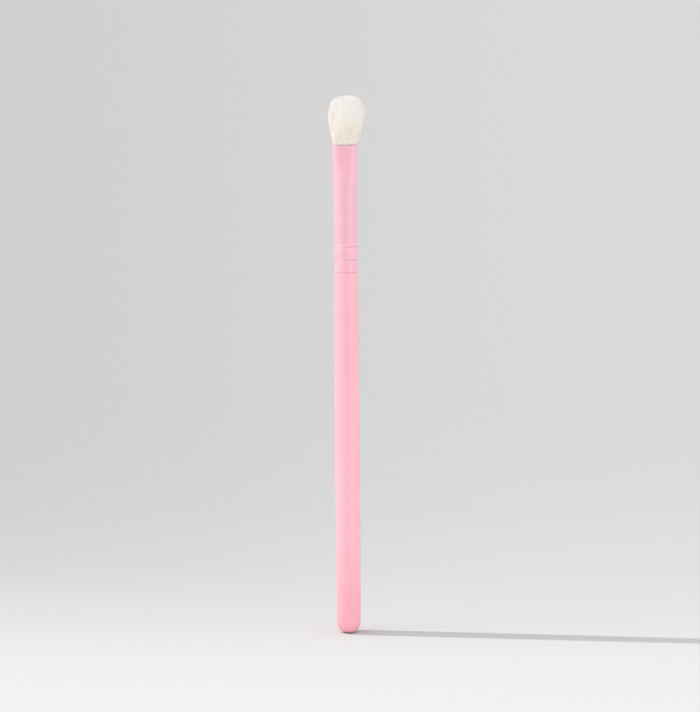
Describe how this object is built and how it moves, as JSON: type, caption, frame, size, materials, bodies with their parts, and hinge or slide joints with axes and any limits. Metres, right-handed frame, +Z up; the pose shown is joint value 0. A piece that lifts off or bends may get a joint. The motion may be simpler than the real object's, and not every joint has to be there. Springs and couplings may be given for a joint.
{
  "type": "blending brush",
  "caption": "Slim eye-shadow blending brush: lacquered round wooden handle, crimped metal ferrule with a pinched oval mouth, and a domed head of soft natural hair.",
  "frame": {"origin": "centre of the foot's flat, on the surface that the brush stands on", "axes": "+Z up along the brush towards the hair, X across the pinched mouth's width, Y across its thickness"},
  "size_m": [0.0116, 0.0084, 0.17],
  "materials": {
    "handle_lacquer": "satin",
    "ferrule_enamel": "satin",
    "hair": "matte",
    "epoxy": "gloss",
    "thread": "matte"
  },
  "bodies": {
    "root": {"handle": "handle_lacquer", "ferrule": "ferrule_enamel", "hair_bundle": "hair", "root_glue": "epoxy", "hair_tie": "thread", "tenon_glue": "epoxy"}
  },
  "joints": []
}
